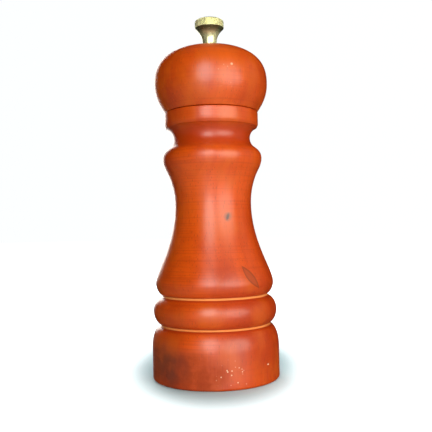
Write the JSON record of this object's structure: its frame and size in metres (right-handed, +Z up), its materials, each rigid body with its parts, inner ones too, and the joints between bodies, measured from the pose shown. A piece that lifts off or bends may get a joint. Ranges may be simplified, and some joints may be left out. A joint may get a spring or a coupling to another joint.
{
  "type": "pepper mill",
  "caption": "Turned wooden pepper mill: the domed head turns a square shaft and a burr grinder in the foot, and a knurled brass nut on top sets the grind.",
  "frame": {"origin": "centre of the foot's flat underside, on the mill's axis, in the plane it stands on", "axes": "+Z up along the axis of turning, towards the brass nut; +X and +Y are equal, and the bridge bar in the foot lies along X"},
  "size_m": [0.0584, 0.0584, 0.1655],
  "materials": {
    "bridge_bar": "zinc-plated strip",
    "bridge_bush": "natural nylon",
    "bridge_screw_1": "zinc-plated",
    "bridge_screw_2": "zinc-plated",
    "drive_plate": "stamped plate",
    "drive_plate_screw_1": "zinc-plated",
    "drive_plate_screw_2": "zinc-plated",
    "drive_plate_screw_3": "zinc-plated",
    "drive_shaft": "drawn bar",
    "finial_nut": "bright turned brass with a knurled rim",
    "finial_washer": "stamped brass",
    "grinder_spring": "drawn spring wire",
    "mill_body": "red-orange stain under satin lacquer",
    "mill_head": "red-orange stain under satin lacquer",
    "rotor_burr": "hardened and oiled",
    "rotor_clip": "stamped or turned steel",
    "rotor_washer": "stamped or turned steel",
    "spring_cap": "stamped or turned steel",
    "spring_seat": "stamped or turned steel",
    "stator_burr": "hardened and oiled",
    "stator_screw_1": "zinc-plated",
    "stator_screw_2": "zinc-plated"
  },
  "bodies": {
    "mill": {"mill_body": "mill_body", "stator_burr": "stator_burr", "bridge_bar": "bridge_bar", "bridge_bush": "bridge_bush", "bridge_screw_1": "bridge_screw_1", "bridge_screw_2": "bridge_screw_2", "stator_screw_1": "stator_screw_1", "stator_screw_2": "stator_screw_2"},
    "spring_carrier": {"spring_cap": "spring_cap", "grinder_spring": "grinder_spring"},
    "head": {"mill_head": "mill_head", "drive_plate": "drive_plate", "drive_plate_screw_1": "drive_plate_screw_1", "drive_plate_screw_2": "drive_plate_screw_2", "drive_plate_screw_3": "drive_plate_screw_3"},
    "spindle": {"drive_shaft": "drive_shaft", "rotor_burr": "rotor_burr", "rotor_washer": "rotor_washer", "rotor_clip": "rotor_clip", "spring_seat": "spring_seat"},
    "nut_washer": {"finial_washer": "finial_washer"},
    "nut": {"finial_nut": "finial_nut"}
  },
  "joints": [
    {"name": "head_turn", "type": "hinge", "parent": "mill", "child": "spring_carrier", "pos_m": [0, 0, 0.0305], "axis": [0, 0, 1], "continuous": true},
    {"name": "head_lift", "type": "slide", "parent": "spring_carrier", "child": "head", "axis": [0, 0, 1], "range_m": [0, 0.06]},
    {"name": "finial_lift", "type": "slide", "parent": "head", "child": "nut_washer", "axis": [0, 0, 1], "range_m": [0, 0.015]},
    {"name": "finial_turn", "type": "hinge", "parent": "nut_washer", "child": "nut", "pos_m": [0, 0, 0.153], "axis": [0, 0, 1], "range_deg": [-720, 180]},
    {"name": "spindle_feed", "type": "slide", "parent": "spring_carrier", "child": "spindle", "axis": [0, 0, 1], "range_m": [-0.0004, 0.0016], "deforming": ["grinder_spring"]}
  ],
  "couplings": [
    {"joint": "finial_turn", "follows": "spindle_feed", "rad_per_m": -7854}
  ]
}
